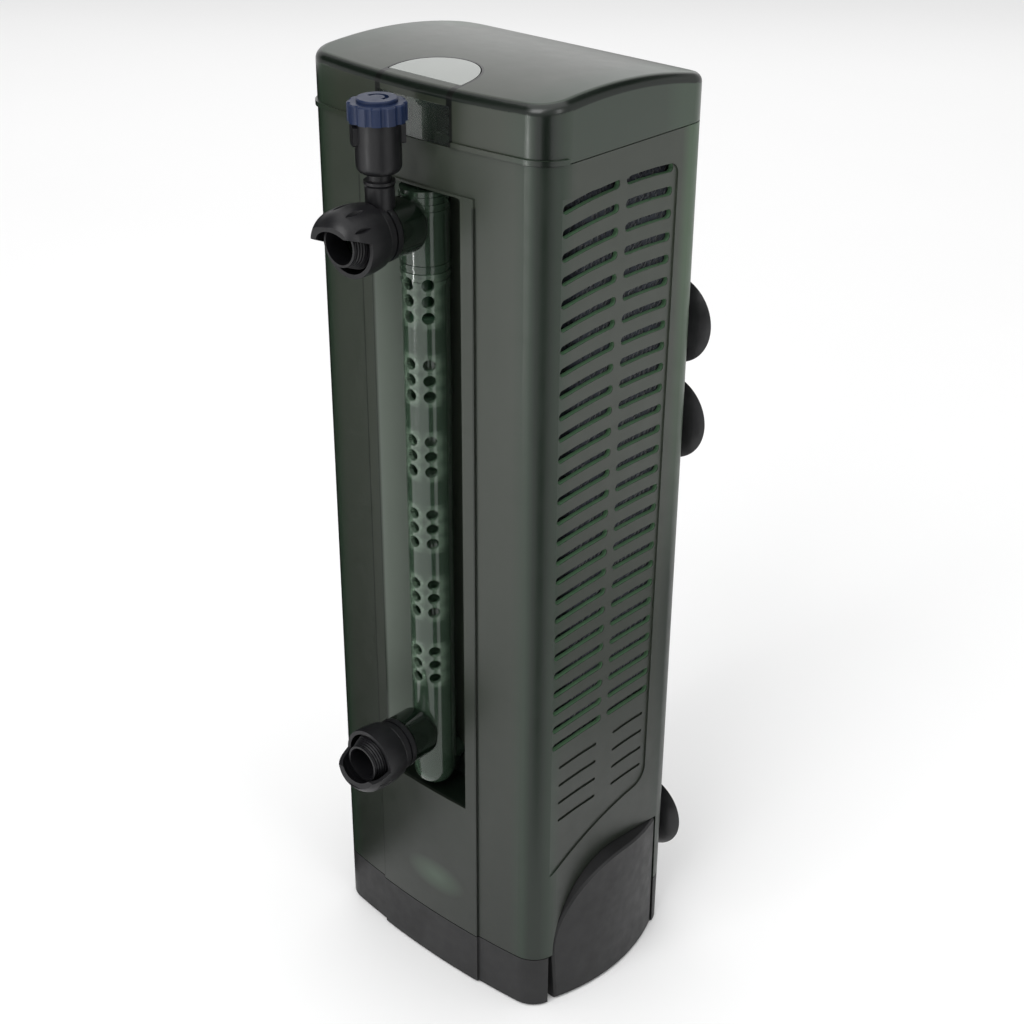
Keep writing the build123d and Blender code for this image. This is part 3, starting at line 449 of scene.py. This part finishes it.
def fired_ceramic(name, colour):
    """Porous fired clay with darker specks."""
    mat, tree, shader = material(name)
    specked = tuple(part * 0.72 for part in colour)
    speckle = ramp(tree, noise(tree, scale=900.0, detail=5.0), 0.4, 0.62)
    set_inputs(tree, shader, mix(tree, speckle, specked, colour),
               ramp(tree, noise(tree, scale=300.0), 0.3, 0.7, 0.72, 0.9))
    bump(tree, shader, noise(tree, scale=1400.0, detail=4.0), distance=0.12 * MM)
    return mat


def carbon_grain(name, case, grain):
    """A cassette face with black granules showing in its grooves."""
    mat, tree, shader = material(name)
    grit = cells(tree, scale=620.0)
    set_inputs(tree, shader, mix(tree, ramp(tree, grit, 0.15, 0.6), grain, case),
               ramp(tree, grit, 0.1, 0.7, 0.75, 0.42))
    bump(tree, shader, grit, distance=0.35 * MM, strength=0.8)
    return mat


def metal(name, colour, rough, stretch):
    """Drawn or stacked metal: fine lines along one direction, with dulled patches."""
    mat, tree, shader = material(name)
    dulled = tuple(part * 0.6 for part in colour)
    lines = noise(tree, scale=500.0, stretch=stretch)
    patches = ramp(tree, noise(tree, scale=120.0, detail=4.0), 0.35, 0.7)
    set_inputs(tree, shader, mix(tree, patches, colour, dulled),
               ramp(tree, lines, 0.3, 0.7, rough - 0.1, rough + 0.12))
    shader.inputs["Metallic"].default_value = 1.0
    bump(tree, shader, lines, distance=0.03 * MM)
    return mat


smoked_looks = {
    "smoked_shell": dict(colour=(0.045, 0.055, 0.041), deep=(0.036, 0.045, 0.033),
                         rough=0.40, transmission=0.35, tint=casing_tint_light_and_shade),
    "lid_shell": dict(colour=(0.041, 0.050, 0.035), deep=(0.033, 0.041, 0.028),
                      rough=0.29, transmission=0.35, coat=0.1, flow=0.003, haze=0.015, tint=lid_tint_and_shade),
    "button_face": dict(colour=(0.36, 0.38, 0.36), deep=(0.33, 0.35, 0.33),
                        rough=0.22, transmission=0.25, coat=0.2, flow=0.004),
    "clear_window": dict(colour=(0.40, 0.46, 0.41), deep=(0.34, 0.40, 0.35),
                         rough=0.06, transmission=0.97, coat=0.3, flow=0.004),
    "green_tube": dict(colour=(0.066, 0.114, 0.074), deep=(0.042, 0.078, 0.049),
                       rough=0.14, transmission=0.7, coat=0.3, flow=0.01, tint=tube_tint),
    "smoked_port": dict(colour=(0.005, 0.010, 0.006), deep=(0.003, 0.007, 0.004),
                        rough=0.11, transmission=0.4, coat=0.4, flow=0.01),
}

moulded_looks = {
    "dark_base": dict(colour=(0.0105, 0.0105, 0.011), rough=0.5, specular=0.33),
    "black_fitting": dict(colour=(0.005, 0.005, 0.006), rough=0.38,
                          grain=0.015, grain_scale=3000.0, specular=0.34),
    "blue_knob": dict(colour=(0.007, 0.015, 0.045), rough=0.40,
                      grain=0.015, grain_scale=2800.0, specular=0.3),
    "green_lever": dict(colour=(0.010, 0.035, 0.016), rough=0.34),
    "dark_inner": dict(colour=(0.020, 0.022, 0.022), rough=0.45),
    "media_rack": dict(colour=(0.022, 0.034, 0.027), rough=0.45),
    "impeller_plastic": dict(colour=(0.62, 0.64, 0.60), rough=0.42),
    "magnet": dict(colour=(0.030, 0.030, 0.033), rough=0.6, grain=0.05, grain_scale=1800.0),
}

rubber_looks = {
    "seal_rubber": dict(colour=(0.010, 0.010, 0.010), rough=0.55),
    "cup_rubber": dict(colour=(0.008, 0.008, 0.009), rough=0.36),
}

metal_looks = {
    "laminated_steel": dict(colour=(0.34, 0.34, 0.35), rough=0.38, stretch=(0.05, 0.05, 1.0)),
    "copper_winding": dict(colour=(0.60, 0.24, 0.09), rough=0.32, stretch=(1.0, 0.05, 3.0)),
    "steel_pin": dict(colour=(0.56, 0.56, 0.55), rough=0.26, stretch=(0.05, 1.0, 1.0)),
}


def make_materials():
    """Every finish, by the name of the slot that uses it."""
    made = {
        "filter_foam": open_foam("filter_foam", (0.008, 0.011, 0.022), deep=(0.001, 0.001, 0.002)),
        "ceramic": fired_ceramic("ceramic", (0.62, 0.57, 0.48)),
        "carbon_case": carbon_grain("carbon_case", case=(0.035, 0.035, 0.035), grain=(0.006, 0.006, 0.006)),
    }
    kinds = ((smoked, smoked_looks), (moulded, moulded_looks), (rubber, rubber_looks), (metal, metal_looks))
    for kind, looks in kinds:
        for name, look in looks.items():
            made[name] = kind(name, **look)
    return made


def finish_of(name, slot):
    """The material of a CAD node: its slot's, apart from the lid and its press tongue."""
    special = {"lid": "lid_shell", "lid_button": "button_face"}
    return special.get(name, slot)


def dress_frame(materials):
    """Gives every CAD node its finish."""
    slots = {part["node"]: part["material_slot"] for part in frame["record"]["subparts"]}
    for name, obj in frame["nodes"].items():
        obj.data.materials.clear()
        obj.data.materials.append(materials[finish_of(name, slots[name])])


# ---------------------------------------------------------------- foam pads

def block(name, low, high):
    """A box between two corners, with its edges rounded."""
    mesh = bpy.data.meshes.new(name)
    shape = bmesh.new()
    bmesh.ops.create_cube(shape, size=1.0)
    centre = (low + high) / 2
    size = high - low
    for vert in shape.verts:
        vert.co = Vector((vert.co.x * size.x, vert.co.y * size.y, vert.co.z * size.z)) + centre
    bmesh.ops.bevel(shape, geom=shape.edges[:], offset=foam_round, segments=3, profile=0.5, affect="EDGES")
    shape.to_mesh(mesh)
    shape.free()
    obj = bpy.data.objects.new(name, mesh)
    bpy.context.scene.collection.objects.link(obj)
    return obj


def apply_all(obj):
    """Replaces an object's mesh with its evaluated one and drops its modifiers."""
    graph = bpy.context.evaluated_depsgraph_get()
    mesh = bpy.data.meshes.new_from_object(obj.evaluated_get(graph))
    obj.modifiers.clear()
    obj.data = mesh


def swell(obj):
    """Presses the pad out a little from inside, as cut foam stands in its rack."""
    rest = [vert.co.copy() for vert in obj.data.vertices]
    cloth = obj.modifiers.new("cloth", "CLOTH")
    cloth.settings.quality = 4
    cloth.settings.use_pressure = True
    cloth.settings.uniform_pressure_force = 3.0
    cloth.settings.tension_stiffness = 20.0
    cloth.settings.effector_weights.gravity = 0.0
    for step in range(1, foam_steps + 1):
        bpy.context.scene.frame_set(step)
    apply_all(obj)
    for vert, start in zip(obj.data.vertices, rest):
        move = vert.co - start
        if move.length > foam_cap:
            vert.co = start + move.normalized() * foam_cap
    bpy.context.scene.frame_set(1)


def foam_pad(side, materials):
    """A pad of cut foam in the space of its CAD block."""
    low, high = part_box(f"foam_pad_{side}")
    inset = Vector((foam_inset, foam_inset, foam_inset))
    pad = block(f"foam_block_{side}", low + inset, high - inset)
    remesh = pad.modifiers.new("remesh", "REMESH")
    remesh.mode = "VOXEL"
    remesh.voxel_size = foam_voxel
    apply_all(pad)
    swell(pad)
    smooth = pad.modifiers.new("smooth", "SUBSURF")
    smooth.levels = 1
    smooth.render_levels = 1
    pad.data.materials.clear()
    pad.data.materials.append(materials["filter_foam"])
    for face in pad.data.polygons:
        face.use_smooth = True
    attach(pad, "casing")
    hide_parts(f"foam_pad_{side}")


# ---------------------------------------------------------------- camera, floor and light

def make_camera():
    """The camera, with its lens and turn from the top of this file."""
    data = bpy.data.cameras.new("camera")
    data.lens = camera_lens
    camera = bpy.data.objects.new("camera", data)
    camera.location = camera_place
    camera.rotation_euler = [math.radians(angle) for angle in camera_turn]
    bpy.context.scene.collection.objects.link(camera)
    bpy.context.scene.camera = camera


def backdrop(name, width, height, mat):
    """A flat rectangle about its own origin that isn't part of the object."""
    x = width / 2
    y = height / 2
    mesh = bpy.data.meshes.new(name)
    mesh.from_pydata([(-x, -y, 0), (x, -y, 0), (x, y, 0), (-x, y, 0)], [], [(0, 1, 2, 3)])
    mesh.materials.append(mat)
    sheet = bpy.data.objects.new(name, mesh)
    bpy.context.scene.collection.objects.link(sheet)
    return sheet


def make_floor():
    """A plain pale floor."""
    mat, tree, shader = material("pale_floor")
    shade = mix(tree, noise(tree, scale=3.0), (0.88, 0.88, 0.88), (0.91, 0.91, 0.91))
    tree.links.new(shade, shader.inputs["Base Color"])
    shader.inputs["Roughness"].default_value = 0.9
    shader.inputs["Specular IOR Level"].default_value = 0.1
    backdrop("floor", floor_side, floor_side, mat)


def aim(where, target):
    """The turn that points an object's -Z from one place to another."""
    return (Vector(target) - Vector(where)).to_track_quat("-Z", "Y").to_euler()


def dark_card(name, where, target, size, mat):
    """A black studio card that shows only in gloss and keeps edges deep."""
    card = backdrop(name, *size, mat)
    card.location = where
    card.rotation_euler = aim(where, target)
    card.visible_camera = False
    card.visible_shadow = False
    card.visible_diffuse = False
    card.visible_transmission = False


def dark_cards():
    """Beside and below the flanks, before the front right corner, and above the lid's rim."""
    black = material("black_card")[0]
    shader = black.node_tree.nodes["Principled BSDF"]
    shader.inputs["Base Color"].default_value = (0.004, 0.006, 0.004, 1.0)
    shader.inputs["Roughness"].default_value = 1.0
    left = cad_low.x - 42 * MM
    dark_card("card_left", (left, 0.12, 0.155), (0.0, 0.12, 0.155), (0.47, 0.30), black)
    dark_card("card_floor", (-0.10, -0.05, 0.002), (-0.10, -0.05, 1.0), (0.09, 0.156), black)
    dark_card("card_right", (0.20, 0.17, 0.002), (0.20, 0.17, 1.0), (0.12, 0.18), black)
    dark_card("card_corner", (0.125, -0.115, 0.16), (0.045, -0.035, 0.16), (0.06, 0.32), black)
    dark_card("card_rim_front", (-0.42, -0.30, 0.66), (0.0, -0.04, 0.32), (0.55, 0.50), black)
    dark_card("card_rim_right", (0.12, 0.40, 0.70), (0.04, 0.0, 0.32), (0.40, 0.35), black)


def make_sky():
    """Even white surroundings."""
    world = bpy.data.worlds.new("studio")
    world.use_nodes = True
    sky = world.node_tree.nodes["Background"]
    sky.inputs["Color"].default_value = (1.0, 1.0, 1.0, 1.0)
    sky.inputs["Strength"].default_value = sky_strength
    bpy.context.scene.world = world


def softbox(name, where, target, size, watts):
    """A soft rectangular lamp aimed at a place."""
    data = bpy.data.lights.new(name, "AREA")
    data.shape = "RECTANGLE"
    data.size, data.size_y = size
    data.energy = watts
    lamp = bpy.data.objects.new(name, data)
    lamp.location = where
    lamp.rotation_euler = aim(where, target)
    bpy.context.scene.collection.objects.link(lamp)
    return lamp


def make_lamps():
    """Broad light from above and in front, weaker from behind and the right, and a thin low strip."""
    softbox("overhead", (0.0, 0.0, 3.0), middle, size=(4.0, 4.0), watts=42.0)
    softbox("key", (0.15, -1.15, 1.25), middle, size=(0.9, 0.9), watts=11.0)
    softbox("back", (-0.95, 1.05, 0.70), (0.0, 0.0, 0.32), size=(1.6, 0.8), watts=1.6)
    strip = softbox("strip", (-0.12, -0.62, 0.02), (0.0, 0.0, 0.22), size=(0.03, 0.5), watts=0.9)
    strip.visible_camera = False
    softbox("right", (1.5, -0.2, 0.9), middle, size=(0.5, 0.9), watts=4.0)


bpy.context.scene.view_settings.view_transform = "Standard"
make_camera()
make_floor()
dark_cards()
make_sky()
make_lamps()
finishes = make_materials()
dress_frame(finishes)
for pad_side in ("left", "right"):
    foam_pad(pad_side, finishes)
